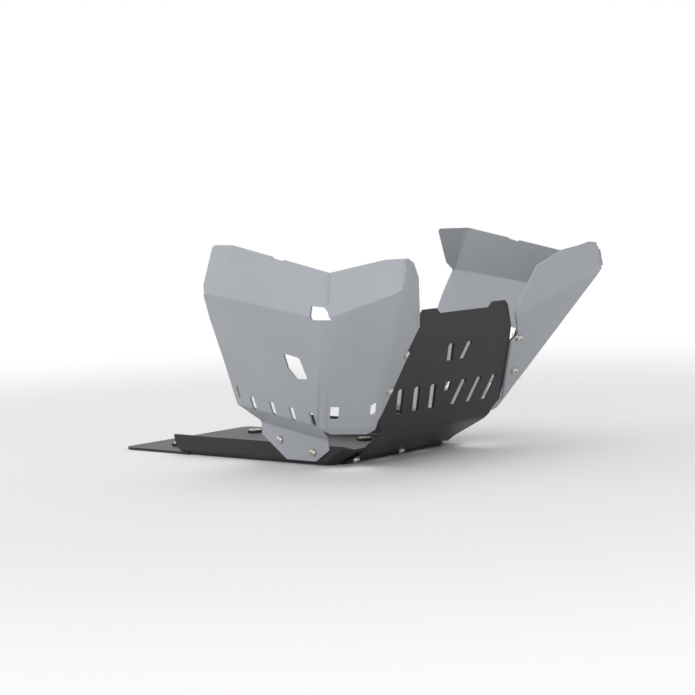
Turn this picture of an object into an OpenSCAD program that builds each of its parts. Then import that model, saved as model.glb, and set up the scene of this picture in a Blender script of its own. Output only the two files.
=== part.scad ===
// Motorcycle skid plate: a folded floor pan and front shield, with a folded and welded
// engine guard on each side.
// +X points to the front wheel, +Y to the rider's left and +Z up. The origin is the middle
// of the flat floor, on its underside. A guard is drawn on the left, and the right one is
// its mirror image.

/* [Sheets] */
// Thickness of the floor pan and the front shield
plate_t = 4; // [3:0.5:5]
// Thickness of the side guards
guard_t = 3; // [2:0.5:4]
// Outside radius of the sharp folds
fold_r = 8; // [6:1:12]

/* [Floor pan] */
// Floor from the origin to its front fold
floor_front = 220; // [200:5:240]
// Floor from the origin to its rear edge
floor_rear = 220; // [180:5:260]
// Width over the side walls
pan_w = 274; // [264:1:280]
// Height of the side walls
wall_h = 30; // [26:1:36]
// Rear end of the side walls, behind the origin
wall_rear = 105; // [60:5:150]
// Rise of the front lip above the floor
lip_rise = 21; // [18:1:24]
// Length of the cut corner along the wall
corner_back = 20; // [14:1:26]
// Length of the cut corner along the fold
corner_in = 24; // [18:1:28]
// Height of the ear that carries a guard
ear_h = 46; // [42:1:50]
// Length of that ear
ear_len = 52; // [44:1:60]
// Radius of the corners of the floor's rear edge
tongue_r = 14; // [6:1:24]
// Diameter of the oil drain opening
drain_d = 42; // [30:1:60]
// Oil drain opening behind the origin
drain_x = 30; // [10:5:60]

/* [Front shield] */
// Slope of the ramp
ramp_a = 29.6; // [26:0.2:33]
// Length of the ramp along its slope
ramp_len = 93.5; // [85:0.5:100]
// Slope of the lower front
front_a = 66.7; // [63:0.1:70]
// Length of the lower front along its slope
front_len = 151; // [140:1:160]
// Slope of the upper front
top_a = 84; // [78:1:88]
// Height of the top edge above the floor
shield_h = 222.5; // [216:0.5:230]
// Outside radius of the fold between the ramp and the lower front
nose_fold_r = 22; // [14:1:30]
// Half width of the ramp at the floor
ramp_half = 113; // [108:1:115]
// Half width of the waist of the ramp
waist_half = 104; // [98:1:108]
// Height of that waist
waist_z = 16; // [12:1:20]
// Half width at the fold of the ramp
fold_half = 118; // [114:1:122]
// Half width at the foot of the wings
foot_half = 139.5; // [134:0.5:142]
// Height of the foot of the wings
foot_z = 70.5; // [66:0.5:76]
// Half width at the shoulder, where the wings end
shoulder_half = 117; // [112:1:122]
// Height of the shoulder
shoulder_z = 158.8; // [150:0.2:164]
// Half width at the top
top_half = 99; // [92:1:106]
// Depth of the dip in the middle of the top edge
dip = 7.5; // [4:0.5:12]
// Half width of that dip
dip_half = 56.5; // [46:0.5:66]
// Width of a wing
wing_w = 27; // [25:1:32]
// Lower end of a wing above its foot
wing_start = 20; // [18:1:26]

/* [Slots of the shield] */
// Slots on each side of the middle
slot_pairs = 3; // [2:1:3]
// Height of the foot of the slots
slot_z = 76; // [72:1:84]
// Height of a slot
slot_h = 36; // [28:1:40]
// Width of a slot
slot_w = 13; // [9:1:16]
// Distance of the first slots from the middle
slot_first = 25; // [22:1:28]
// Distance from slot to slot
slot_pitch = 35.5; // [30:0.5:36]
// Lean of the slots away from the middle
slot_lean = 16; // [0:1:20]
// Height of the foot of the upper pair
vent_z = 144; // [136:1:148]
// Height of the upper pair
vent_h = 25; // [18:1:30]
// Length of a slot across the ramp
ramp_slot_w = 41; // [30:1:44]
// Width of a slot across the ramp
ramp_slot_h = 4.5; // [3:0.5:6]

/* [Guards] */
// Rear edge at the top corner
rear_top_x = 116; // [100:1:130]
// Height of the rear top corner
rear_top_z = 322.5; // [310:0.5:335]
// Rear edge at the fold
rear_fold_x = 121; // [108:1:128]
// Height of the fold at the rear edge
rear_fold_z = 257; // [250:1:266]
// Rear edge at the bottom fold
rear_foot_x = 95.5; // [88:0.5:104]
// Height of the bottom fold at the rear edge
rear_foot_z = 91.5; // [86:0.5:97]
// Radius of the rear top corner
rear_r = 6; // [2:1:12]
// Front corner of the band
corner_x = 350; // [340:1:360]
// Half width at the front corner, at the top
band_half = 265; // [255:1:275]
// Height of the front corner at the top
corner_top_z = 284; // [276:1:292]
// Half width at the front corner, at the fold
girth_half = 278; // [270:1:288]
// Height of the front corner at the fold
girth_z = 222; // [214:1:230]
// Nose of the guard
nose_x = 442; // [430:1:455]
// Half width at the nose
nose_half = 227; // [218:1:235]
// Height of the fold at the nose
nose_z = 257; // [248:1:266]
// Height of the top of the nose
nose_top_z = 301; // [292:1:310]
// Bottom corner of the guard
foot_x = 260; // [250:1:270]
// Half width at the bottom corner
guard_foot_half = 195; // [188:1:202]
// Height of the front lip's inner end
toe_z = 61; // [57:1:66]
// Slope of the bottom lip
lip_a = 31; // [24:1:40]
// Width of the bottom lip in front
lip_w = 22; // [14:1:26]
// Radius of the wide bend along the front corner
wide_r = 45; // [20:1:50]
// Radius of the wide bend beside the shield
cheek_r = 26; // [16:1:32]
// Angle by which the rear top corner is set in
set_a = 18; // [6:1:20]
// Length of the set-in part of the top edge
set_len = 50; // [40:1:60]
// Radius of the soft bend of the set-in corner
set_r = 40; // [10:1:60]
// Length of the shallow notch in the top edge
notch_w = 22; // [12:1:30]
// Depth of that notch
notch_d = 2; // [1:0.5:4]
// Width of a weld bead
bead_w = 5; // [4:0.5:6]

/* [Slots of the guards] */
// Wide slots along the foot of the side
side_slots = 4; // [2:1:4]
// First of them from the rear edge
side_first = 35.8; // [30:0.2:40]
// Distance from slot to slot
side_pitch = 38.2; // [32:0.2:38.4]
// Width of a slot
side_slot_w = 8.5; // [5:0.5:11]
// Reach of a slot up the side
side_slot_up = 20.5; // [16:0.5:26]
// Reach of a slot down the lip
side_slot_low = 8; // [5:0.5:12]
// Width of the narrow slot at the rear edge
tail_slot_w = 3.5; // [3:0.5:4]
// Narrow slot from the rear edge
tail_slot_at = 10; // [9:0.5:12]
// Length of the narrow slot
tail_slot_h = 22; // [14:1:26]
// Width of the front slot beside the corner
front_slot_w = 12; // [8:0.5:14]
// Front slot from the bottom corner
front_slot_at = 14.5; // [12:0.5:20]
// Height of the foot of the front slots above the fold
front_slot_up = 14.5; // [10:0.5:20]
// Length of the front slots
front_slot_h = 26; // [18:1:32]
// Width of the slot beside the shield
toe_slot_w = 7.5; // [5:0.5:8]
// Slot beside the shield from the bottom corner
toe_slot_at = 67.5; // [62:0.5:68]
// Rear edge of the access opening
access_x = 236; // [228:1:240]
// Height of the foot of the access opening
access_z = 136; // [128:1:142]
// Width of the access opening
access_w = 32; // [24:1:36]
// Height of the access opening
access_h = 37; // [28:1:40]
// Length of the relief hole at the front corner of the band
relief = 34; // [24:1:38]
// Height of the relief hole
relief_h = 19; // [14:1:24]

/* [Fasteners] */
// Bolts of the ramp and the walls
bolt_d = 6; // [5:1:6]
// Clearance round a bolt
bolt_gap = 0.3; // [0.2:0.05:0.5]
// Thickness of a washer
washer_t = 1.6; // [1:0.2:2]
// Distance of the outer ramp bolts from the middle
ramp_bolt_y = 99; // [92:1:100]
// Distance of the ramp bolts from the floor, along the slope
ramp_bolt_s = 14; // [12:0.5:17]
// Height of the rear wall bolt
wall_bolt_z = 34; // [32:0.5:36]
// Rear wall bolt in front of the origin
wall_bolt_x = 123; // [118:1:128]
// Distance from the rear to the front wall bolt
wall_bolt_step = 65; // [58:1:68]
// Height of the front wall bolt
front_bolt_z = 19; // [17:0.5:21]
// Distance of the wing bolts from the shield's fold
wing_bolt_in = 13; // [12:0.5:14]
// Height of the lower wing bolt
wing_bolt_z = 113.5; // [104:0.5:120]
// Distance from the lower to the upper wing bolt, in height
wing_bolt_step = 50; // [40:0.5:51]

/* [Floor mounts] */
// Bore of the sleeves for the mounting bolts
sleeve_bore = 8.2; // [6.2:0.1:8.2]
// Outside diameter of a sleeve
sleeve_d = 11; // [10:0.5:12]
// Outside diameter of a rubber grommet
grommet_d = 24; // [22:1:28]
// Diameter of the hole that holds a grommet
grommet_hole = 17; // [16:0.5:19]
// Rear mounts behind the origin
mount_rear = 150; // [120:5:180]
// Front mounts in front of the origin
mount_front = 88; // [70:2:95]
// Half distance between the mounts across the floor
mount_half = 84; // [70:1:96]

/* [Hidden] */
$fn = 48;
REACH = 700;
ARC_STEPS = 4;
hw = pan_w / 2;
black = [0.2, 0.2, 0.21];
silver = [0.66, 0.67, 0.7];
steel = [0.78, 0.78, 0.76];
rubber = [0.08, 0.08, 0.08];

// Flat outlines
function unit(v) = v / norm(v);
function turn(v, a) = [v[0] * cos(a) - v[1] * sin(a), v[0] * sin(a) + v[1] * cos(a)];
function flip(pts) = [for (i = [len(pts) - 1 : -1 : 0]) pts[i]];
// Arc of radius r in the corner p between its neighbours a and b
function corner_arc(a, p, b, r) =
    let (u = unit(a - p), v = unit(b - p), half = acos(max(-1, min(1, u * v))) / 2,
        mid = p + unit(u + v) * r / sin(half), from = p + u * r / tan(half) - mid,
        way = u[0] * v[1] - u[1] * v[0] > 0 ? -1 : 1)
    [for (i = [0 : ARC_STEPS]) mid + turn(from, way * (180 - 2 * half) * i / ARC_STEPS)];
// Open line of points, with each inner corner rounded to radius r
function rounded(pts, r) = [for (i = [0 : len(pts) - 1])
    each (i == 0 || i == len(pts) - 1 || r <= 0 ? [pts[i]]
        : corner_arc(pts[i - 1], pts[i], pts[i + 1], r))];
// Closed outline, with every corner rounded to radius r, or each one to its own of a list
function rounded_loop(pts, r) = let (n = len(pts)) [for (i = [0 : n - 1])
    each corner_arc(pts[(i + n - 1) % n], pts[i], pts[(i + 1) % n], is_list(r) ? r[i] : r)];
// Line moved by t to its left
function beside(pts, t) = let (n = len(pts) - 1,
    side = [for (i = [0 : n - 1]) turn(unit(pts[i + 1] - pts[i]), 90)])
    [for (i = [0 : n]) i == 0 ? pts[0] + side[0] * t : i == n ? pts[n] + side[n - 1] * t
        : pts[i] + (side[i - 1] + side[i]) * t / (1 + side[i - 1] * side[i])];
module side_view(h) { rotate([90, 0, 0]) linear_extrude(h, center = true) children(); }
module front_view(h) { rotate([90, 0, 90]) linear_extrude(h, center = true) children(); }
module both_sides() { children(); mirror([0, 1, 0]) children(); }

// Planes in space, each as its outward normal and its distance from the origin
function plane(a, b, c, inside) = let (n = unit(cross(b - a, c - a)), out = n * (inside - a) > 0)
    out ? [-n, -n * a] : [n, n * a];
function sunk(pl, t) = [pl[0], pl[1] - t];
function at_xz(pl, x, z) = [x, (pl[1] - pl[0][0] * x - pl[0][2] * z) / pl[0][1], z];
function at_yz(pl, y, z) = [(pl[1] - pl[0][1] * y - pl[0][2] * z) / pl[0][0], y, z];
function at_xy(pl, x, y) = [x, y, (pl[1] - pl[0][0] * x - pl[0][1] * y) / pl[0][2]];
// Planes that round the edge between two others, like the strokes of a press brake
function bend(p, q, r, n) =
    let (u = unit(cross(p[0], q[0])), turn_a = acos(p[0] * q[0]),
        mid = ((p[1] - r) * cross(q[0], u) + (q[1] - r) * cross(u, p[0])) / (p[0] * cross(q[0], u)))
    [for (i = [1 : n]) let (f = i / (n + 1),
        v = (p[0] * sin((1 - f) * turn_a) + q[0] * sin(f * turn_a)) / sin(turn_a))
        [v, v * mid + r]];
// Plane turned by an angle about the line from a to b, which lies in it
function folded(pl, a, b, angle) = let (k = unit(b - a), n = pl[0],
    v = n * cos(angle) + cross(k, n) * sin(angle)) [v, v * a];
// Plane of a lip that runs down at a slope from the line a-b, toward the inside
function lip_under(a, b, slope) = let (in = unit([a[1] - b[1], b[0] - a[0]]))
    plane(a, b, a + [in[0] * cos(slope), in[1] * cos(slope), -sin(slope)], guard_in);
module behind(pl) { seat(pl, pl[0] * pl[1]) translate([-REACH, -REACH, -2 * REACH]) cube(2 * REACH); }
// Children at a point of a plane, with +Z outward and +X down the slope
module seat(pl, p) {
    n = pl[0];
    translate(p) rotate([0, acos(n[2]), atan2(n[1], n[0])]) children();
}
// Children at a, with +Z along the normal n and +Y along the line to b
module along(n, a, b) {
    y = unit(b - a);
    x = cross(y, n);
    translate(a) multmatrix([[x[0], y[0], n[0], 0], [x[1], y[1], n[1], 0], [x[2], y[2], n[2], 0]])
        children();
}

// Lines of the shield in side view, its outer face first
ramp_dir = [cos(ramp_a), sin(ramp_a)];
front_dir = [cos(front_a), sin(front_a)];
top_dir = [cos(top_a), sin(top_a)];
shield_foot = [floor_front, 0];
shield_fold = shield_foot + ramp_dir * ramp_len;
shield_bend = shield_fold + front_dir * front_len;
shield_top = shield_bend + top_dir * (shield_h - shield_bend[1]) / top_dir[1];
shield_line = [shield_foot, shield_fold, shield_bend, shield_top + top_dir * plate_t];
// Outer face of the lower front
front_plane = [[sin(front_a), 0, -cos(front_a)],
    sin(front_a) * shield_fold[0] - cos(front_a) * shield_fold[1]];
ramp_plane = [[sin(ramp_a), 0, -cos(ramp_a)], sin(ramp_a) * floor_front];
// The pan's front lip lies against the inner face of the ramp
lip_plane = sunk(ramp_plane, plate_t);
pan_fold = floor_front - plate_t / sin(ramp_a);
lip_end = pan_fold + lip_rise / tan(ramp_a);
// The wall's rear end curves down to the floor, to end here
wall_start = wall_h - wall_rear;
facet_run = [lip_rise / tan(ramp_a) * 0.87, 0, lip_rise];
facet_corner = [floor_front - corner_back, hw, 0];
corner_plane = plane(facet_corner, facet_corner + facet_run,
    [floor_front, hw - corner_in, 0], [0, 0, wall_h]);

// Corners and planes of the left guard
wing_foot = at_yz(front_plane, foot_half, foot_z);
wing_shoulder = at_yz(front_plane, shoulder_half, shoulder_z);
guard_in = [250, 200, 200];
nose = [nose_x, nose_half, nose_z];
girth = [corner_x + 2, girth_half, girth_z];
band_top = [corner_x - 2, band_half, corner_top_z];
over_shield = front_plane[0] * guard_t;
cheek = plane(nose, wing_foot + over_shield, wing_shoulder + over_shield, guard_in);
toe = at_yz(cheek, foot_half + 1, toe_z);
front = plane(girth, nose, toe, guard_in);
foot = at_xy(front, foot_x, guard_foot_half);
band = plane(band_top, girth, [rear_top_x, band_half, rear_top_z], guard_in);
rear_fold = at_xz(band, rear_fold_x, rear_fold_z);
side = plane(girth, rear_fold, foot, guard_in);
rear_foot = at_xz(side, rear_foot_x, rear_foot_z);
band_front = plane(band_top, girth, nose, guard_in);
nose_top = at_yz(band_front, nose_half - 2, nose_top_z);
throat = [nose_x - 72, nose_half - 118, nose_z - 57];
nose_side = plane(nose, nose_top, throat, guard_in);
side_lip = lip_under(foot, rear_foot, lip_a);
front_lip = lip_under(toe, foot, lip_a);
set_from = at_xz(band, rear_top_x + set_len, rear_top_z);
set_to = at_xz(band, rear_fold_x + 8, rear_fold_z + 1);
set_in = folded(band, set_from, set_to, -set_a);
GUARD_PLANES = concat([band, side, band_front, front, cheek, nose_side, side_lip, front_lip, set_in],
    bend(band, side, fold_r, 2), bend(band_front, front, fold_r, 2),
    bend(nose_side, cheek, fold_r, 1), bend(side, front, wide_r, 4),
    bend(front, cheek, cheek_r, 3), bend(side, side_lip, fold_r, 1),
    bend(front, front_lip, fold_r, 1), bend(band, set_in, set_r, 2));

// Fasteners
washer_d = 2 * bolt_d;
head_d = 1.8 * bolt_d;
head_h = 0.55 * bolt_d;
nut_d = 1.85 * bolt_d;
nut_h = 0.95 * bolt_d;
module bolt(grip) {
    difference() {
        union() {
            translate([0, 0, washer_t]) rotate_extrude() polygon(concat(
                [[0, 0], [head_d / 2, 0], [head_d / 2, 0.25 * head_h]],
                [for (a = [20 : 20 : 80]) [head_d / 2 * cos(a), head_h * (0.25 + 0.75 * sin(a))]],
                [[0, head_h]]));
            translate([0, 0, -grip - nut_h - 1]) cylinder(d = bolt_d, h = grip + nut_h + 1 + washer_t + 0.1);
        }
        translate([0, 0, washer_t + 0.4 * head_h]) cylinder(d = 0.72 * bolt_d, h = head_h, $fn = 6);
    }
}
module washer() {
    difference() {
        cylinder(d = washer_d, h = washer_t);
        translate([0, 0, -1]) cylinder(d = bolt_d + 2 * bolt_gap, h = washer_t + 2);
    }
}
module nut(grip) {
    translate([0, 0, -grip - nut_h]) difference() {
        union() {
            cylinder(d = nut_d, h = nut_h, $fn = 6);
            translate([0, 0, nut_h - 1]) cylinder(d = washer_d, h = 1);
        }
        translate([0, 0, -1]) cylinder(d = bolt_d, h = nut_h + 2);
    }
}
module bolt_hole() { translate([0, 0, -20]) cylinder(d = bolt_d + 2 * bolt_gap, h = 40); }

function ramp_seat(y) = [floor_front + ramp_bolt_s * ramp_dir[0], y, ramp_bolt_s * ramp_dir[1]];
module each_ramp_bolt() {
    for (y = [-ramp_bolt_y, 0, ramp_bolt_y]) seat(ramp_plane, ramp_seat(y)) children();
}
wall_plane = [[0, 1, 0], hw + guard_t];
wall_bolts_at = [[wall_bolt_x, wall_bolt_z], [wall_bolt_x + wall_bolt_step, front_bolt_z]];
module each_wall_bolt() {
    both_sides() for (p = wall_bolts_at) seat(wall_plane, at_xz(wall_plane, p[0], p[1])) children();
}
// Half width of the fold between the shield and a wing at height z
function wing_line(z) = foot_half
    + (shoulder_half - foot_half) * (z - foot_z) / (shoulder_z - foot_z);
module each_wing_bolt() {
    both_sides() for (z = [wing_bolt_z, wing_bolt_z + wing_bolt_step])
        seat(cheek, at_yz(cheek, wing_line(z) + wing_bolt_in, z)) children();
}
module each_mount() {
    for (x = [-mount_rear, mount_front], y = [-mount_half, mount_half]) translate([x, y, 0]) children();
}

// Space inside the pan, or the pan's outside with t at 0
module tray(t) {
    line = beside([[-wall_rear - t, 0], [pan_fold, 0], [lip_end + 20, lip_rise + 20 * tan(ramp_a)]], t);
    intersection() {
        side_view(pan_w - 2 * t) polygon(concat(rounded(line, fold_r - t),
            [[lip_end + 20, ear_h + 20 + t], [-wall_rear - t, ear_h + 20 + t]]));
        front_view(4 * floor_front) polygon(concat([[-hw + t, ear_h + 20 + t]],
            corner_arc([-hw + t, 90], [-hw + t, t], [0, t], max(0.1, fold_r - t)),
            corner_arc([0, t], [hw - t, t], [hw - t, 90], max(0.1, fold_r - t)), [[hw - t, ear_h + 20 + t]]));
        behind(sunk(corner_plane, t));
        mirror([0, 1, 0]) behind(sunk(corner_plane, t));
    }
}
// Side outline that the walls are cut to
module wall_outline() {
    ear_x = wall_bolt_x;
    polygon(concat([[wall_start, -1], [lip_end + 15, -1], [lip_end - 3, wall_h - 6],
        [lip_end - 9, wall_h], [ear_x + ear_len / 2, wall_h], [ear_x + ear_len / 2 - 12, ear_h],
        [ear_x - ear_len / 2 + 12, ear_h], [ear_x - ear_len / 2, wall_h]],
        [for (a = [180 : 15 : 270]) [wall_start, wall_h] + wall_h * [cos(a), sin(a)]]));
}
module floor_pan() {
    color(black) difference() {
        union() {
            intersection() {
                difference() { tray(0); tray(plate_t); }
                side_view(2 * pan_w) wall_outline();
            }
            linear_extrude(plate_t) polygon(concat([[wall_start, -hw], [wall_start, hw]],
                corner_arc([0, hw], [-floor_rear, hw], [-floor_rear, 0], tongue_r),
                corner_arc([-floor_rear, 0], [-floor_rear, -hw], [0, -hw], tongue_r)));
        }
        each_ramp_bolt() bolt_hole();
        each_wall_bolt() bolt_hole();
        each_mount() translate([0, 0, -1]) cylinder(d = grommet_hole, h = plate_t + 2);
        translate([-drain_x, 0, -1]) cylinder(d = drain_d, h = plate_t + 2);
        ramp_slots(2);
    }
}

// Slots across the ramp, grown by g all round
module ramp_slots(g) {
    for (y = [-1, 1]) seat(ramp_plane, ramp_seat(y * (23 + ramp_slot_w / 2)))
        translate([0, 0, -20]) linear_extrude(40) round_slot(ramp_slot_h + 2 * g, ramp_slot_w + 2 * g);
}
// Slot of width w and length h, with round ends along Y
module round_slot(w, h) {
    for (s = [-1, 1]) translate([0, s * (h - w) / 2]) circle(d = w);
    square([w, h - w], center = true);
}
// Slot of the shield in front view: round at its upper outer corner, square elsewhere
module shield_slot(w, h) {
    lean = h * tan(slot_lean);
    r = w * 0.27;
    polygon(concat([[0, 0], [w, 0]], corner_arc([w, 0], [w + lean, h], [lean, h], r),
        corner_arc([w + lean, h], [lean, h], [0, 0], 1)));
}
module shield_outline() {
    half = concat([[ramp_half, -1], [ramp_half, 0], [waist_half, waist_z], [fold_half, shield_fold[1]],
        [fold_half + 5, shield_fold[1] + 6], [fold_half + 5, foot_z - 13], [foot_half - 3, foot_z],
        [wing_line(foot_z + wing_start), foot_z + wing_start], [shoulder_half, shoulder_z]],
        corner_arc([shoulder_half, shoulder_z], [top_half, shield_h - dip], [top_half - 7, shield_h], 4),
        [[top_half - 7, shield_h], [dip_half + dip, shield_h], [dip_half, shield_h - dip]]);
    polygon(concat(half, flip([for (p = half) [-p[0], p[1]]])));
}
module wing() {
    intersection() {
        difference() { behind(sunk(cheek, guard_t)); behind(sunk(cheek, guard_t + plate_t)); }
        front_view(4 * floor_front) polygon([
            [wing_line(foot_z + wing_start), foot_z + wing_start], [shoulder_half, shoulder_z],
            [shoulder_half + 9, shoulder_z + 9], [shoulder_half + 7, shoulder_z + 18],
            [shoulder_half + wing_w - 4, shoulder_z + 14], [shoulder_half + wing_w, shoulder_z],
            [wing_line(wing_bolt_z - 6) + 0.74 * wing_w, wing_bolt_z - 6],
            [wing_line(foot_z + wing_start + 6) + 7, foot_z + wing_start + 6]]);
    }
}
module front_shield() {
    color(black) difference() {
        union() {
            intersection() {
                side_view(2 * pan_w) polygon(concat(
                    [shield_line[0]], corner_arc(shield_line[0], shield_line[1], shield_line[2], nose_fold_r),
                    corner_arc(shield_line[1], shield_line[2], shield_line[3], fold_r),
                    [shield_line[3]], let (q = beside(shield_line, plate_t)) flip(concat([q[0]],
                    corner_arc(q[0], q[1], q[2], nose_fold_r - plate_t),
                    corner_arc(q[1], q[2], q[3], fold_r - plate_t), [q[3]]))));
                front_view(4 * floor_front) shield_outline();
            }
            both_sides() wing();
        }
        each_ramp_bolt() bolt_hole();
        each_wing_bolt() bolt_hole();
        ramp_slots(0);
        front_view(4 * floor_front) {
            for (s = [-1, 1], i = [0 : slot_pairs - 1]) scale([s, 1])
                translate([slot_first + i * slot_pitch - slot_w / 2, slot_z]) shield_slot(slot_w, slot_h);
            translate([-slot_w / 2, slot_z + slot_h - slot_w]) square(slot_w);
            for (s = [-1, 1]) scale([s, 1]) translate([8, vent_z]) shield_slot(slot_w, vent_h);
        }
    }
}

// Room inside a guard, t behind its outer faces
module lobe(t) { intersection_for (pl = GUARD_PLANES) behind(sunk(pl, t)); }
// Outlines that the guard's sheet is cut to, from the side, the front and the top
band_slope = (rear_top_z - corner_top_z) / (rear_top_x + set_len - band_top[0]);
function on_top_edge(x) = corner_top_z + (x - band_top[0]) * band_slope;
module guard_side_outline() {
    notch_x = corner_x - 107;
    polygon(concat(
        corner_arc([rear_fold_x - 7, rear_fold_z + 11], [rear_top_x, rear_top_z],
            [rear_top_x + set_len, rear_top_z], rear_r),
        [[rear_top_x + set_len, rear_top_z], [notch_x, on_top_edge(notch_x)],
        [notch_x + notch_d, on_top_edge(notch_x) - notch_d],
        [notch_x + notch_w - notch_d, on_top_edge(notch_x + notch_w) - notch_d],
        [notch_x + notch_w, on_top_edge(notch_x + notch_w)], [band_top[0], corner_top_z]],
        corner_arc([band_top[0], corner_top_z], [nose_top[0], nose_top_z], [nose_top[0], nose_z], rear_r),
        [[nose_x + 60, nose_z], [nose_x + 60, -20], [flange_rear, -20], [flange_rear, wall_h],
        [rear_foot_x, rear_foot_z],
        [rear_foot_x + 0.41 * (rear_fold_x - rear_foot_x), rear_foot_z + 0.41 * (rear_fold_z - rear_foot_z)],
        [rear_fold_x - 8, rear_fold_z - 37], [rear_fold_x, rear_fold_z],
        [rear_fold_x - 7, rear_fold_z + 11]]));
}
module guard_front_outline() {
    polygon(concat([[nose_top[1], nose_top_z + 60], [girth_half + 60, nose_top_z + 60],
        [girth_half + 60, -20], [hw, -20], [hw, toe_z], [foot_half + 1, foot_z],
        [shoulder_half + 1, shoulder_z], [shoulder_half + 8.4, shoulder_z + 9.8],
        [throat[1], throat[2]], [throat[1] + 9, throat[2] + 21.5], [throat[1] + 32, throat[2] + 68]],
        corner_arc([throat[1] + 32, throat[2] + 68], [nose_half - 40, nose_top_z - 2.5],
            [nose_top[1], nose_top_z], rear_r), [[nose_top[1], nose_top_z]]));
}
module guard_top_outline() {
    in = unit([toe[1] - foot[1], foot[0] - toe[0]]) * lip_w * cos(lip_a);
    edge = [toe[0] - foot[0], toe[1] - foot[1]];
    a = [foot[0], foot[1]] + in;
    polygon([[0, hw], [flange_front, hw], a, a + edge * 0.87,
        [toe[0], toe[1]] + in / 3, [nose_x + 60, 0], [nose_x + 60, girth_half + 60], [0, girth_half + 60]]);
}
// Flange of the guard on the wall of the pan
flange_rear = wall_bolt_x - 36;
flange_front = wall_bolts_at[1][0] + 30;
flange_foot = 6.5;
function flange_top(x) = at_xy(side_lip, x, hw + guard_t)[2];
module wall_flange() {
    translate([0, hw + guard_t / 2, 0]) side_view(guard_t) polygon(concat(
        [[flange_rear, flange_top(flange_rear) + 1], [flange_rear, wall_bolt_z + 7]],
        corner_arc([flange_rear, wall_bolt_z + 7], [wall_bolt_x + 12, flange_foot],
            [flange_front, flange_foot], 6),
        corner_arc([flange_rear, flange_foot], [flange_front - 26, flange_foot], [flange_front, 23.6], 6),
        [[flange_front, 23.6], [flange_front, flange_top(flange_front) + 1]]));
}
// Bend between the lip and that flange: its sector, or all of the corner that it takes the place of
module flange_bend(whole) {
    n = side_lip[0];
    inner = guard_t + 1;
    outer = inner + guard_t;
    start = at_xy(side_lip, flange_rear, hw + guard_t);
    end = at_xy(side_lip, flange_front, hw + guard_t);
    intersection() {
        along(unit(n + wall_plane[0]), start, end) rotate([90, 0, 0]) translate([0, 0, -REACH / 2])
            linear_extrude(REACH) bend_section(acos(n * wall_plane[0]), inner, outer, whole);
        translate([flange_rear, 0, 0]) cube([flange_front - flange_rear, REACH, REACH]);
    }
}
// Section of a sheet bent by an angle, with the bend's axis on +Y and the corner at the origin
module bend_section(angle, inner, outer, whole) {
    mid = [0, inner / cos(angle / 2)];
    r = outer + 1;
    wedge = [mid, mid + r * [-sin(angle / 2), -cos(angle / 2)],
        mid - [0, r / cos(angle / 2)], mid + r * [sin(angle / 2), -cos(angle / 2)]];
    if (whole) polygon(wedge);
    else {
        intersection() {
            polygon(wedge);
            translate(mid) difference() { circle(r = outer); circle(r = inner); }
        }
        // Ends that reach a little way into the flat sheets
        for (s = [-1, 1]) translate(mid) rotate(s * angle / 2)
            translate([-0.5, 0.1 - outer]) square([1, outer - inner - 0.2]);
    }
}
fold_up = unit(side[0] + side_lip[0]);
module slot(w, top, low, skew) {
    linear_extrude(40, center = true) polygon(rounded_loop(
        [[low, -w / 2], [top, -w / 2], [top + skew, w / 2], [low + skew, w / 2]], [0.3 * w, 1, 1, 0.3 * w]));
}
module guard_cuts() {
    way = unit(foot - rear_foot);
    for (i = [0 : side_slots - 1]) let (p = rear_foot + way * (side_first + i * side_pitch))
        along(fold_up, p, p + way) slot(side_slot_w, side_slot_up, -side_slot_low, 0);
    along(side[0], rear_foot + way * tail_slot_at, foot)
        slot(tail_slot_w, side_slot_up * 0.6 + tail_slot_h, side_slot_up * 0.6, 0);
    toe_way = unit(toe - foot);
    along(front[0], foot + toe_way * front_slot_at, toe)
        slot(front_slot_w, front_slot_up + front_slot_h, front_slot_up, 0);
    along(front[0], foot + toe_way * toe_slot_at, toe + toe_way)
        slot(toe_slot_w, front_slot_up + front_slot_h + 3.5, front_slot_up + 7, toe_slot_w * 0.6);
    translate([access_x, girth_half, access_z]) side_view(200) polygon(rounded_loop(
        [[3, access_h], [access_w, access_h - 6], [access_w, 0], [9, 0], [0, 16]], 3));
    translate([corner_x + 6, girth_half, girth_z]) side_view(120) polygon(rounded_loop(
        [[0, 0], [-4, 0.62 * relief_h], [-0.3 * relief, 0.9 * relief_h], [-relief, relief_h], [-relief, 0]],
        [1, 4, 4, 2, 2]));
    for (p = wall_bolts_at) seat(wall_plane, at_xz(wall_plane, p[0], p[1])) bolt_hole();
    for (z = [wing_bolt_z, wing_bolt_z + wing_bolt_step])
        seat(cheek, at_yz(cheek, wing_line(z) + wing_bolt_in, z)) bolt_hole();
}
module guard() {
    difference() {
        union() {
            difference() {
                union() {
                    intersection() {
                        difference() { lobe(0); lobe(guard_t); }
                        side_view(4 * REACH) guard_side_outline();
                        front_view(4 * REACH) guard_front_outline();
                        linear_extrude(2 * REACH, center = true) guard_top_outline();
                    }
                    wall_flange();
                }
                flange_bend(true);
            }
            flange_bend(false);
        }
        guard_cuts();
    }
}
// Weld bead over the sharp edge of two planes, from a to b
module bead(p, q, a, b) {
    v = b - a;
    difference() {
        translate(a) rotate([0, acos(v[2] / norm(v)), atan2(v[1], v[0])])
            cylinder(d = bead_w, h = norm(v));
        intersection() { behind(p); behind(q); }
    }
}
module guard_welds() {
    bead(band, band_front, band_top + (girth - band_top) * 0.06, band_top + (girth - band_top) * 0.62);
    bead(band_front, nose_side, nose + (nose_top - nose) * 0.2, nose + (nose_top - nose) * 0.66);
}
module left_guard() { color(silver) guard(); }
module right_guard() { color(silver) mirror([0, 1, 0]) guard(); }
module left_welds() { color(silver) guard_welds(); }
module right_welds() { color(silver) mirror([0, 1, 0]) guard_welds(); }

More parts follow.
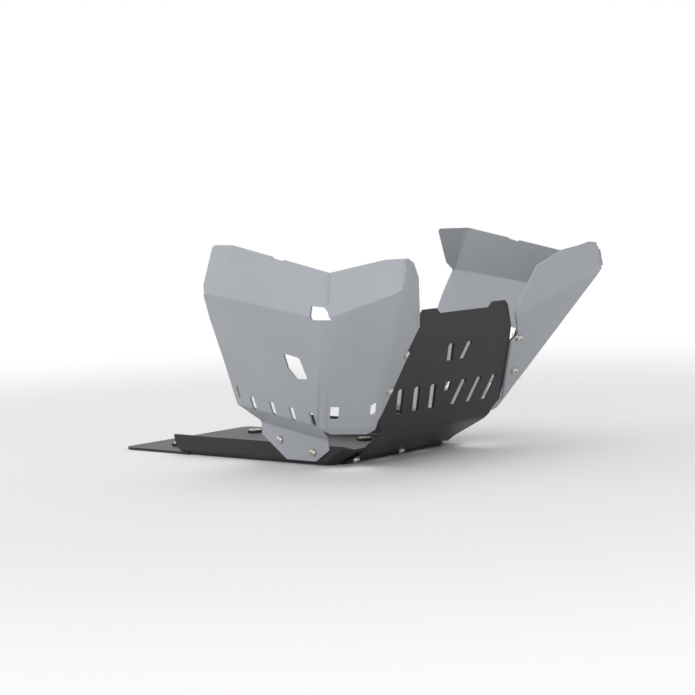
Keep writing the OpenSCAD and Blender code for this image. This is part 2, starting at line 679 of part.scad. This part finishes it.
module ramp_bolts() { color(steel) each_ramp_bolt() bolt(2 * plate_t); }
module ramp_washers() { color(steel) each_ramp_bolt() washer(); }
module ramp_nuts() { color(steel) each_ramp_bolt() nut(2 * plate_t); }
module wall_bolts() { color(steel) each_wall_bolt() bolt(plate_t + guard_t); }
module wall_washers() { color(steel) each_wall_bolt() washer(); }
module wall_nuts() { color(steel) each_wall_bolt() nut(plate_t + guard_t); }
module wing_bolts() { color(steel) each_wing_bolt() bolt(plate_t + guard_t); }
module wing_washers() { color(steel) each_wing_bolt() washer(); }
module wing_nuts() { color(steel) each_wing_bolt() nut(plate_t + guard_t); }

// Rubber grommet in a hole of the floor, flanged inside only, so that the underside is flush
module floor_grommets() {
    color(rubber) each_mount() rotate_extrude() polygon([[sleeve_d / 2, 0], [grommet_hole / 2, 0],
        [grommet_hole / 2, plate_t], [grommet_d / 2, plate_t], [grommet_d / 2, plate_t + 3],
        [sleeve_d / 2, plate_t + 3]]);
}
module floor_sleeves() {
    color(steel) each_mount() rotate_extrude() polygon([[sleeve_bore / 2, 0.5], [sleeve_d / 2, 0.5],
        [sleeve_d / 2, plate_t + 3], [grommet_d / 2 - 2, plate_t + 3],
        [grommet_d / 2 - 2, plate_t + 4.5], [sleeve_bore / 2, plate_t + 4.5]]);
}

floor_pan();
front_shield();
right_guard();
left_guard();
right_welds();
left_welds();
ramp_bolts();
ramp_washers();
ramp_nuts();
wall_bolts();
wall_washers();
wall_nuts();
wing_bolts();
wing_washers();
wing_nuts();
floor_grommets();
floor_sleeves();
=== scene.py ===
# %% [markdown]
# # A motorcycle skid plate
# The part is folded sheet aluminium: a black floor pan and front shield, and a silver guard on
# each side. Its solids come ready-made at their real size. This file gives them cut edges,
# weld beads and finishes, and sets up the camera and the light.

# %% Load the solids
from math import cos, degrees, radians, sin

import bmesh
import bpy
import numpy as np
from mathutils import Matrix, Vector


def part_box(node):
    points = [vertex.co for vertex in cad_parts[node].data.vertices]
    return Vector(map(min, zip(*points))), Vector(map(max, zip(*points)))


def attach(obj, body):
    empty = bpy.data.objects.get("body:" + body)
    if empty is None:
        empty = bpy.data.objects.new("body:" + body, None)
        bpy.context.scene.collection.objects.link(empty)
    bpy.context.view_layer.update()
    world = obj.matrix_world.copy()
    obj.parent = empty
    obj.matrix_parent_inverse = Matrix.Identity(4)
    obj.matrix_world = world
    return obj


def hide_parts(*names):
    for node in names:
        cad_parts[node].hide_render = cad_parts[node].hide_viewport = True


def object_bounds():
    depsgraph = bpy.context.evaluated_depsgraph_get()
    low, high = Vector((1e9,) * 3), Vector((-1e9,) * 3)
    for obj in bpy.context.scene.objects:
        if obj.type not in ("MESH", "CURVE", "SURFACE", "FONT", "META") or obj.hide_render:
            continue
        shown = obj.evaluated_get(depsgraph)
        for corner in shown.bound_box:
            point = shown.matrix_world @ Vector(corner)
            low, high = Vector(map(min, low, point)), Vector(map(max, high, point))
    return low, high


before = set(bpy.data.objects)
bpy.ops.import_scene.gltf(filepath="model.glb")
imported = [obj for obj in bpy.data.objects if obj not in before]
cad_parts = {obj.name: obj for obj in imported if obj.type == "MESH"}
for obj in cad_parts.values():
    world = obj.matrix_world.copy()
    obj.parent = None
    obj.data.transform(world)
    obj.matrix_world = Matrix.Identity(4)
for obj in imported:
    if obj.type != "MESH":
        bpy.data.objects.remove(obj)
cad_low, cad_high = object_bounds()
MM = 0.001
MERGE_MM = 0.002
print("solids:", len(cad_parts), "box from", list(cad_low), "to", list(cad_high))

# %% [markdown]
# ## The camera
# The photograph was taken from the right and in front, with a long lens, so the picture has
# little perspective. The angles are those of the standing motorcycle. The plate hangs on it
# with its nose a little high, so the camera is turned by that tilt as well.

# %% Camera
CAMERA_AT = Vector((2162.7, -2242.7, 407.2)) * MM
VIEW_TURN = radians(41.9)
VIEW_DROP = radians(6.6)
VIEW_ROLL = radians(-0.4)
PLATE_TILT = radians(2.77)
LENS_MM = 105.2


def camera_turn():
    """Rotation of the camera, from the angles above."""
    across = Vector((cos(VIEW_TURN), sin(VIEW_TURN), 0))
    ahead = Vector((-sin(VIEW_TURN) * cos(VIEW_DROP), cos(VIEW_TURN) * cos(VIEW_DROP), -sin(VIEW_DROP)))
    above = across.cross(ahead)
    right = across * cos(VIEW_ROLL) + above * sin(VIEW_ROLL)
    up = above * cos(VIEW_ROLL) - across * sin(VIEW_ROLL)
    upright = Matrix((right, up, -ahead)).transposed()
    return Matrix.Rotation(PLATE_TILT, 3, "Y") @ upright


camera = bpy.data.objects.new("camera", bpy.data.cameras.new("camera"))
bpy.context.scene.collection.objects.link(camera)
camera.data.lens = LENS_MM
camera.data.sensor_width = 36
camera.matrix_world = Matrix.Translation(CAMERA_AT) @ camera_turn().to_4x4()
bpy.context.scene.camera = camera
print("the camera is", round(CAMERA_AT.length, 2), "m from the origin")

# %% [markdown]
# ## Nodes and colours
# A finish is a small network of shader nodes. One function adds a node, sets its values and
# links its inputs, and another turns a written colour into the linear values that light needs.

# %% Helpers for nodes and colours
def linear(code):
    """Linear RGBA of an sRGB colour written as #RRGGBB."""
    parts = [int(code[i:i + 2], 16) / 255 for i in (1, 3, 5)]
    return [p / 12.92 if p <= 0.04045 else ((p + 0.055) / 1.055) ** 2.4 for p in parts] + [1.0]


def add(tree, kind, inputs=(), **settings):
    """A node of that kind. A value in inputs is a number, a colour or another node's socket."""
    node = tree.nodes.new(kind)
    for name, value in settings.items():
        setattr(node, name, value)
    for name, value in dict(inputs).items():
        if isinstance(value, bpy.types.NodeSocket):
            tree.links.new(value, node.inputs[name])
        else:
            node.inputs[name].default_value = value
    return node


def new_material(name):
    """An empty material, its node tree and its Principled shader."""
    material = bpy.data.materials.new(name)
    material.use_nodes = True
    tree = material.node_tree
    return material, tree, tree.nodes["Principled BSDF"]


# %% [markdown]
# ## Powder coat
# Both colours are polyester powder coat, sprayed dry on aluminium and baked. As the powder
# melts it keeps a faint orange-peel surface, with waves about 2 mm across. A silver coat also
# has fine metal flakes in it, which the eye sees as a slight grain. The finish is satin, so
# highlights are broad and soft.

# %% Powder coat
PEEL_MM = 2.2
PEEL_DEEP_MM = 0.2
FLAKE_MM = 0.5
CLOUDS_PER_M = 9.0


def powder_coat(name, colour, roughness, metallic, flake):
    """Baked polyester powder on sheet aluminium, with flakes of strength flake."""
    material, tree, shader = new_material(name)
    place = add(tree, "ShaderNodeTexCoord").outputs["Object"]
    peel = add(tree, "ShaderNodeTexNoise",
               {"Vector": place, "Scale": 1 / (PEEL_MM * MM), "Detail": 2.0})
    grain = add(tree, "ShaderNodeTexNoise",
                {"Vector": place, "Scale": 1 / (FLAKE_MM * MM), "Detail": 1.0})
    cloud = add(tree, "ShaderNodeTexNoise", {"Vector": place, "Scale": CLOUDS_PER_M, "Detail": 3.0})
    spots = add(tree, "ShaderNodeMix",
                {"Factor": flake, "A": cloud.outputs["Fac"], "B": grain.outputs["Fac"]})
    shades = add(tree, "ShaderNodeValToRGB", {"Fac": spots.outputs["Result"]})
    base = Vector(linear(colour)[:3])
    shades.color_ramp.elements[0].position = 0.3
    shades.color_ramp.elements[0].color = list(base * 0.93) + [1]
    shades.color_ramp.elements[1].position = 0.7
    shades.color_ramp.elements[1].color = list(base * 1.06) + [1]
    tree.links.new(shades.outputs["Color"], shader.inputs["Base Color"])
    gloss = add(tree, "ShaderNodeMapRange",
                {"Value": cloud.outputs["Fac"], "From Min": 0.3, "From Max": 0.7,
                 "To Min": roughness - 0.03, "To Max": roughness + 0.04})
    tree.links.new(gloss.outputs["Result"], shader.inputs["Roughness"])
    shader.inputs["Metallic"].default_value = metallic
    bump = add(tree, "ShaderNodeBump",
               {"Height": peel.outputs["Fac"], "Strength": 0.12, "Distance": PEEL_DEEP_MM * MM})
    tree.links.new(bump.outputs["Normal"], shader.inputs["Normal"])
    return material


silver_coat = powder_coat("silver_powder_coat", "#A9ACB2", roughness=0.46, metallic=0.25, flake=0.35)
black_coat = powder_coat("black_powder_coat", "#1F1F20", roughness=0.45, metallic=0.0, flake=0.2)
print("coats:", silver_coat.name, "and", black_coat.name)

# %% [markdown]
# ## Stainless steel and rubber
# Bolts, washers and nuts are A2 stainless steel, turned and tumbled: a bare metal with fine
# marks. The grommets are EPDM rubber, moulded, with a dull surface.

# %% Stainless steel and rubber
MARK_MM = 0.35
MARK_DEEP_MM = 0.05
BLOOMS_PER_M = 160.0


def turned_steel(name, colour):
    """Bare stainless steel with fine tool marks."""
    material, tree, shader = new_material(name)
    place = add(tree, "ShaderNodeTexCoord").outputs["Object"]
    marks = add(tree, "ShaderNodeTexNoise",
                {"Vector": place, "Scale": 1 / (MARK_MM * MM), "Detail": 3.0})
    rough = add(tree, "ShaderNodeMapRange",
                {"Value": marks.outputs["Fac"], "From Min": 0.3, "From Max": 0.7,
                 "To Min": 0.22, "To Max": 0.42})
    tree.links.new(rough.outputs["Result"], shader.inputs["Roughness"])
    shader.inputs["Base Color"].default_value = linear(colour)
    shader.inputs["Metallic"].default_value = 1.0
    bump = add(tree, "ShaderNodeBump",
               {"Height": marks.outputs["Fac"], "Strength": 0.1, "Distance": MARK_DEEP_MM * MM})
    tree.links.new(bump.outputs["Normal"], shader.inputs["Normal"])
    return material


def moulded_rubber(name, colour):
    """EPDM rubber with a slight bloom."""
    material, tree, shader = new_material(name)
    place = add(tree, "ShaderNodeTexCoord").outputs["Object"]
    bloom = add(tree, "ShaderNodeTexNoise", {"Vector": place, "Scale": BLOOMS_PER_M, "Detail": 4.0})
    shades = add(tree, "ShaderNodeValToRGB", {"Fac": bloom.outputs["Fac"]})
    base = Vector(linear(colour)[:3])
    shades.color_ramp.elements[0].color = list(base * 0.8) + [1]
    shades.color_ramp.elements[1].color = list(base * 1.4) + [1]
    tree.links.new(shades.outputs["Color"], shader.inputs["Base Color"])
    shader.inputs["Roughness"].default_value = 0.75
    return material


stainless = turned_steel("a2_stainless", "#C8C5BF")
rubber = moulded_rubber("epdm_rubber", "#1C1C1C")
print("finishes:", stainless.name, "and", rubber.name)

# %% [markdown]
# ## Folded sheets
# A press brake folds a sheet between a punch and a die, so a fold is a narrow rounded strip
# between two flat faces. The solids already hold each fold as a few strips. Smooth shading
# alone would bend the light across the whole face, because a corner normal is an average of
# all the faces that meet there. So a flat face keeps its own normal, and the strips carry the
# whole turn.

# %% Shading of folds
SHARP = radians(34)
STRIP_MM = 10.5


def is_flat(face):
    """Whether a face is broader than the strips of a fold."""
    return 2 * face.calc_area() > STRIP_MM * MM * face.calc_perimeter()


def corner_normal(face, loop):
    """A flat face keeps its normal. A strip takes its neighbour's, or the mean of two strips."""
    if is_flat(face):
        return face.normal
    soft = [edge for edge in (loop.edge, loop.link_loop_prev.edge)
            if len(edge.link_faces) == 2 and edge.calc_face_angle(0) < SHARP]
    if not soft:
        return face.normal
    edge = max(soft, key=lambda e: e.calc_length())
    beside = [other for other in edge.link_faces if other != face][0]
    if is_flat(beside):
        return beside.normal
    mean = face.normal * face.calc_area() + beside.normal * beside.calc_area()
    return mean.normalized() if mean.length > 0 else face.normal


def fair_normals(mesh):
    """Corner normals that keep flat faces flat and round the folds."""
    work = bmesh.new()
    work.from_mesh(mesh)
    work.normal_update()
    normals = [tuple(corner_normal(face, loop)) for face in work.faces for loop in face.loops]
    work.free()
    mesh.shade_smooth()
    mesh.normals_split_custom_set(normals)


# %% [markdown]
# ## The nose of a guard
# The nose of a guard is drawn forward over the wheel, so that its seam shows from the front.
# Four corners fix it: two at the rim, the fold's corner below them and the throat. Each point
# of the copy near the nose moves with the corners that are nearest to it, and is then set back
# on the plane of the nose, because a pressed sheet stays flat between its bends.

# %% Planes of the left guard, in mm
SKIN_MM = (4, 8)
NOSE, THROAT, INSIDE = (442, 227, 257), (370, 109, 200), Vector((250, 200, 200))
NOSE_FIT = [((423.9, 225, 301), (442.2, 216.3, 301.3)), ((394.8, 187, 298.5), (420.4, 177.5, 296.5)),
            ((370, 141, 268), (393.8, 135.5, 270)), (NOSE, NOSE), (THROAT, THROAT),
            ((375, 118, 221.5), (375, 118, 221.5))]


def plane(a, b, c):
    """Outward normal and distance of the plane through three points."""
    a, b, c = Vector(a), Vector(b), Vector(c)
    normal = (b - a).cross(c - a).normalized()
    if normal.dot(INSIDE - a) > 0:
        normal.negate()
    return normal, normal.dot(a)


NOSE_WAS, NOSE_NOW = plane(NOSE, NOSE_FIT[0][0], THROAT), plane(NOSE, NOSE_FIT[0][1], THROAT)
print("the nose turns by", round(degrees(NOSE_WAS[0].angle(NOSE_NOW[0])), 1), "degrees")

# %% [markdown]
# A point that lies deeper than SKIN_MM behind the nose's outer face isn't part of its sheet, so
# it stays where it is. An easy curve between the two depths keeps a step from showing.

# %% The nose
def smooth(value, low, high):
    """0 below low, 1 above high, and an easy curve between."""
    x = min(1, max(0, (value - low) / (high - low)))
    return x * x * (3 - 2 * x)


def nose_move(point):
    """How far a point of the nose moves, from its distance to each corner of the nose."""
    off = NOSE_WAS[1] - NOSE_WAS[0].dot(point)
    weight = 1 - smooth(off, *SKIN_MM)
    near = [1 / ((point - Vector(a)).length + 0.01) ** 4 for a, b in NOSE_FIT]
    moves = [(Vector(b) - Vector(a)) * w for (a, b), w in zip(NOSE_FIT, near)]
    move = sum(moves, Vector((0, 0, 0))) / sum(near)
    miss = NOSE_NOW[1] - off - NOSE_NOW[0].dot(point + move)
    return (move + NOSE_NOW[0] * miss) * weight


def refit(work, hand):
    """Move the points of a guard's mesh. hand is 1 on the left and -1 on the right."""
    for vert in work.verts:
        move = nose_move(Vector((vert.co.x, vert.co.y * hand, vert.co.z)) / MM)
        vert.co += Vector((move.x, move.y * hand, move.z)) * MM


# %% [markdown]
# ## Cut edges
# Laser-cut sheet has a clean square edge, slightly broken so that the powder holds on it.
# Each solid is copied, its loose triangles are joined into flat faces, and a bevel breaks only
# the sharp edges.

# %% Dress a solid
FLAT_TURN = radians(0.4)
EDGE_STEPS = 2


def dressed(node, edge_mm, material, hand=0):
    """A copy of a solid with its sharp edges broken, standing for that solid.

    A guard says which hand it is, and its nose is refitted.
    """
    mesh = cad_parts[node].data.copy()
    flat = bmesh.new()
    flat.from_mesh(mesh)
    bmesh.ops.remove_doubles(flat, verts=flat.verts, dist=MERGE_MM * MM)
    bmesh.ops.dissolve_limit(flat, angle_limit=FLAT_TURN, verts=flat.verts, edges=flat.edges)
    if hand:
        refit(flat, hand)
    flat.to_mesh(mesh)
    flat.free()
    piece = bpy.data.objects.new(node + "_sheet", mesh)
    bpy.context.scene.collection.objects.link(piece)
    mesh.materials.clear()
    mesh.materials.append(material)
    bevel = piece.modifiers.new("edge", "BEVEL")
    bevel.width = edge_mm * MM
    bevel.segments = EDGE_STEPS
    bevel.limit_method = "ANGLE"
    bevel.angle_limit = SHARP
    bevel.use_clamp_overlap = True
    baked = bpy.data.meshes.new_from_object(
        piece.evaluated_get(bpy.context.evaluated_depsgraph_get()))
    piece.modifiers.clear()
    piece.data = baked
    fair_normals(baked)
    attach(piece, "root")
    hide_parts(node)
    print(node, "has", len(baked.polygons), "faces")


dressed("floor_pan", edge_mm=0.5, material=black_coat)
dressed("front_shield", edge_mm=0.5, material=black_coat)
for side, hand in (("right", -1), ("left", 1)):
    dressed(side + "_guard", edge_mm=0.45, material=silver_coat, hand=hand)

# %% [markdown]
# ## Weld beads
# The guard's front corner and its nose are closed by TIG welding. The filler is fed in drop by
# drop, so a bead is a row of flat overlapping drops, about 3 mm apart. That is a job for
# Geometry Nodes: a line is cut into steps, a flattened ball is put on each step, and the
# balls are turned so that they lie along the line and face outward.

# %% The tree that lays a bead
def bead_tree():
    """Geometry Nodes tree that puts a row of flat drops along the edges of a mesh."""
    tree = bpy.data.node_groups.new("welded_bead", "GeometryNodeTree")
    face = tree.interface
    face.new_socket("Line", in_out="INPUT", socket_type="NodeSocketGeometry")
    sizes = {"Step": 3.0 * MM, "Width": 4.2 * MM, "Height": 1.0 * MM, "Length": 4.4 * MM}
    for name, size in sizes.items():
        face.new_socket(name, in_out="INPUT", socket_type="NodeSocketFloat").default_value = size
    face.new_socket("Finish", in_out="INPUT", socket_type="NodeSocketMaterial")
    face.new_socket("Bead", in_out="OUTPUT", socket_type="NodeSocketGeometry")
    given = add(tree, "NodeGroupInput").outputs
    line = add(tree, "GeometryNodeMeshToCurve", {"Mesh": given["Line"]})
    steps = add(tree, "GeometryNodeResampleCurve",
                {"Curve": line.outputs["Curve"], "Length": given["Step"]}, mode="LENGTH")
    drop = add(tree, "GeometryNodeMeshIcoSphere", {"Radius": 0.5, "Subdivisions": 3})
    spread = add(tree, "FunctionNodeRandomValue", {2: 0.9, 3: 1.1, "Seed": 4}, data_type="FLOAT")
    width = add(tree, "ShaderNodeMath", {0: given["Width"], 1: spread.outputs[1]},
                operation="MULTIPLY")
    height = add(tree, "ShaderNodeMath", {0: given["Height"], 1: 2.0}, operation="MULTIPLY")
    size = add(tree, "ShaderNodeCombineXYZ",
               {"X": width.outputs[0], "Y": height.outputs[0], "Z": given["Length"]})
    way = add(tree, "GeometryNodeInputTangent")
    outward = add(tree, "GeometryNodeInputNamedAttribute", {"Name": "outward"},
                  data_type="FLOAT_VECTOR")
    along = add(tree, "FunctionNodeAlignRotationToVector", {"Vector": way.outputs["Tangent"]},
                axis="Z")
    turn = add(tree, "FunctionNodeAlignRotationToVector",
               {"Rotation": along.outputs[0], "Vector": outward.outputs["Attribute"]},
               axis="Y", pivot_axis="Z")
    row = add(tree, "GeometryNodeInstanceOnPoints",
              {"Points": steps.outputs["Curve"], "Instance": drop.outputs["Mesh"],
               "Rotation": turn.outputs[0], "Scale": size.outputs["Vector"]})
    real = add(tree, "GeometryNodeRealizeInstances", {"Geometry": row.outputs["Instances"]})
    rounded = add(tree, "GeometryNodeSetShadeSmooth", {"Geometry": real.outputs["Geometry"]})
    coated = add(tree, "GeometryNodeSetMaterial",
                 {"Geometry": rounded.outputs[0], "Material": given["Finish"]})
    add(tree, "NodeGroupOutput", {"Bead": coated.outputs["Geometry"]})
    return tree


welded_bead = bead_tree()
print("the bead tree has", len(welded_bead.nodes), "nodes")

# %% [markdown]
# The solids hold each bead as a plain rod, so the line of a bead is the long axis of its rod's
# points. The way from the middle of the guard is a first guess at which side is outward.

# %% Rods to lines
ROD_END_MM = 2.6


def rods(node):
    """Vertex groups of the separate rods in a solid."""
    work = bmesh.new()
    work.from_mesh(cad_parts[node].data)
    bmesh.ops.remove_doubles(work, verts=work.verts, dist=MERGE_MM * MM)
    left, groups = list(work.verts), []
    while left:
        group = [left.pop(0)]
        for vert in group:
            for edge in vert.link_edges:
                other = edge.other_vert(vert)
                if other in left:
                    left.remove(other)
                    group.append(other)
        groups.append(np.array([list(vert.co) for vert in group]))
    work.free()
    print(node, "has", len(groups), "rods")
    return groups


def bead_line(points, inside):
    """Both ends of a rod's axis, and a first guess at its outward direction."""
    middle = points.mean(axis=0)
    axis = np.linalg.svd(points - middle)[2][0]
    reach = (points - middle) @ axis
    ends = []
    for limit in (reach.min(), reach.max()):
        cap = points[abs(reach - limit) < ROD_END_MM * MM].mean(axis=0)
        past = (cap - middle - limit * axis).dot(axis)
        ends.append(Vector(cap) - Vector(axis) * past)
    out = Vector(middle) - inside
    way = (ends[1] - ends[0]).normalized()
    return ends, (out - way * out.dot(way)).normalized()


# %% [markdown]
# A drop lies flat in its corner only if it faces halfway between the two sheets. So the large
# outer faces that end near the bead are found on the guard, and their directions are added up.
# It works well on the front corner. The drops on the nose still lie somewhat askew.

# %% Which way a bead faces
NEAR_MM = 9
LARGE_M2 = 1e-4
LIKE_GUESS = 0.2


def facing(sheet, ends, rough):
    """Mean direction of the large outer faces that meet at a bead."""
    ways = {}
    for face in sheet.polygons:
        close = any((sheet.vertices[i].co - end).length < NEAR_MM * MM
                    for i in face.vertices for end in ends)
        if close and face.area > LARGE_M2 and face.normal.dot(rough) > LIKE_GUESS:
            ways[tuple(round(c, 1) for c in face.normal)] = face.normal.copy()
    seam = (ends[1] - ends[0]).normalized()
    out = sum(ways.values(), Vector((0, 0, 0))) or rough
    return (out - seam * out.dot(seam)).normalized()


# %% [markdown]
# The rods lie just outside the sheets, so the front corner's bead is sunk until its drops touch
# the metal. The nose was drawn forward, so its bead moves with the seam. Both beads of a guard
# are edges of one mesh, which the tree turns into drops.

# %% Lay the beads
PROUD_MM = 0.9
SUNK_MM = 1.3
NOSE_REACH_MM = 30


def on_seam(end, out, hand):
    """A nose bead's end, moved with the seam and outward. Others sink into their corner."""
    nose, was, now = Vector(NOSE), Vector(NOSE_FIT[0][0]), Vector(NOSE_FIT[0][1])
    point = Vector((end.x, end.y * hand, end.z)) / MM
    if (point - (nose + was) / 2).length > NOSE_REACH_MM:
        return end - out * SUNK_MM * MM
    move = (now - was) * (point.z - nose.z) / (was.z - nose.z)
    return end + Vector((move.x, move.y * hand, move.z)) * MM + out * PROUD_MM * MM


def laid(side, hand):
    """The beads of one guard, as one mesh."""
    low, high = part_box(side + "_guard")
    inside = Vector([(a + b) / 2 for a, b in zip(low, high)])
    points, outs = [], []
    for rod in rods(side + "_welds"):
        ends, out = bead_line(rod, inside)
        out = facing(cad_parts[side + "_guard"].data, ends, out)
        print(side, "bead faces", [round(c, 2) for c in out])
        points += [on_seam(end, out, hand) for end in ends]
        outs += [out, out]
    mesh = bpy.data.meshes.new(side + "_bead")
    mesh.from_pydata(points, [(i, i + 1) for i in range(0, len(points), 2)], [])
    mesh.attributes.new("outward", "FLOAT_VECTOR", "POINT").data.foreach_set(
        "vector", [c for out in outs for c in out])
    piece = bpy.data.objects.new(side + "_bead", mesh)
    bpy.context.scene.collection.objects.link(piece)
    nodes = piece.modifiers.new("bead", "NODES")
    nodes.node_group = welded_bead
    for item in welded_bead.interface.items_tree:
        if item.name == "Finish":
            nodes[item.identifier] = silver_coat
    piece.data = bpy.data.meshes.new_from_object(
        piece.evaluated_get(bpy.context.evaluated_depsgraph_get()))
    piece.modifiers.clear()
    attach(piece, "root")
    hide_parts(side + "_welds")
    print(side, "beads:", len(points) // 2, "lines,", len(piece.data.polygons), "faces")


for side, hand in (("right", -1), ("left", 1)):
    laid(side, hand)

# %% [markdown]
# ## Fasteners and mounts
# The bolts, washers, nuts, sleeves and grommets keep their solids, and take the finish of
# what they are made of.

# %% Fasteners and mounts
for name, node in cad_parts.items():
    if name.startswith(("ramp_", "wall_", "wing_", "floor_sleeves")):
        node.data.materials.clear()
        node.data.materials.append(stainless)
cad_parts["floor_grommets"].data.materials.clear()
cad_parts["floor_grommets"].data.materials.append(rubber)
print("the fasteners are in", stainless.name, "and the grommets in", rubber.name)

# %% [markdown]
# ## Floor
# The photograph has a white background. The floor is a pale sheet that holds the plate's shadow.
# Further out it turns clear, so that the white room shows behind it with no line between them.

# %% Floor
def pale_floor(size=9.0, solid_to=0.75, clear_from=1.9):
    """A plain pale floor under the plate, which fades out with its distance in metres."""
    mesh = bpy.data.meshes.new("floor")
    half = size / 2
    corners = [(-half, -half, 0), (half, -half, 0), (half, half, 0), (-half, half, 0)]
    mesh.from_pydata(corners, [], [(0, 1, 2, 3)])
    floor = bpy.data.objects.new("floor", mesh)
    bpy.context.scene.collection.objects.link(floor)
    floor.location.z = cad_low[2] - 0.05 * MM
    material, tree, shader = new_material("pale_floor")
    shader.inputs["Base Color"].default_value = linear("#F6F6F6")
    shader.inputs["Roughness"].default_value = 0.9
    place = add(tree, "ShaderNodeTexCoord").outputs["Object"]
    far = add(tree, "ShaderNodeVectorMath", {0: place}, operation="LENGTH")
    fade = add(tree, "ShaderNodeMapRange",
               {"Value": far.outputs["Value"], "From Min": solid_to, "From Max": clear_from},
               interpolation_type="SMOOTHSTEP")
    clear = add(tree, "ShaderNodeBsdfTransparent")
    mixed = add(tree, "ShaderNodeMixShader", {0: fade.outputs["Result"], 1: shader.outputs["BSDF"],
                                              2: clear.outputs["BSDF"]})
    tree.links.new(mixed.outputs["Shader"], tree.nodes["Material Output"].inputs["Surface"])
    mesh.materials.append(material)
    print("the floor is", size, "m wide and fades out from", solid_to, "to", clear_from, "m")


pale_floor()

# %% [markdown]
# ## Light
# Three large square lamps give soft shadows and keep each coat near the colour it is written
# in. The room has a strength of 1 to the camera and in reflections, where it has to look white,
# and lights the plate at 0.7 of that, which leaves the lamps some shape to give.

# %% Light
ROOM_LIGHT = 0.7


def soft_lamp(name, at, size, watts):
    """A square lamp that faces the plate."""
    lamp = bpy.data.objects.new(name, bpy.data.lights.new(name, "AREA"))
    bpy.context.scene.collection.objects.link(lamp)
    lamp.data.size = size
    lamp.data.energy = watts
    lamp.location = at
    middle = (Vector(cad_low) + Vector(cad_high)) / 2
    lamp.rotation_euler = (middle - Vector(at)).to_track_quat("-Z", "Y").to_euler()
    print("lamp", name, "is", round((middle - Vector(at)).length, 2), "m from the plate")


soft_lamp("key", at=(1.7, -2.6, 0.9), size=1.6, watts=14)
soft_lamp("fill", at=(-2.2, -1.9, 1.6), size=1.6, watts=8)
soft_lamp("top", at=(0.2, 0.4, 3.0), size=2.4, watts=12)

world = bpy.data.worlds.new("white_room")
bpy.context.scene.world = world
world.use_nodes = True
room = world.node_tree
path = add(room, "ShaderNodeLightPath")
seen = add(room, "ShaderNodeMath", {0: path.outputs["Is Camera Ray"], 1: path.outputs["Is Glossy Ray"]},
           operation="MAXIMUM")
also = add(room, "ShaderNodeMath", {0: seen.outputs[0], 1: path.outputs["Is Transmission Ray"]},
           operation="MAXIMUM")
strength = add(room, "ShaderNodeMapRange",
               {"Value": also.outputs[0], "To Min": ROOM_LIGHT, "To Max": 1.0})
background = room.nodes["Background"]
background.inputs["Color"].default_value = (1, 1, 1, 1)
room.links.new(strength.outputs["Result"], background.inputs["Strength"])
bpy.context.scene.view_settings.view_transform = "Standard"
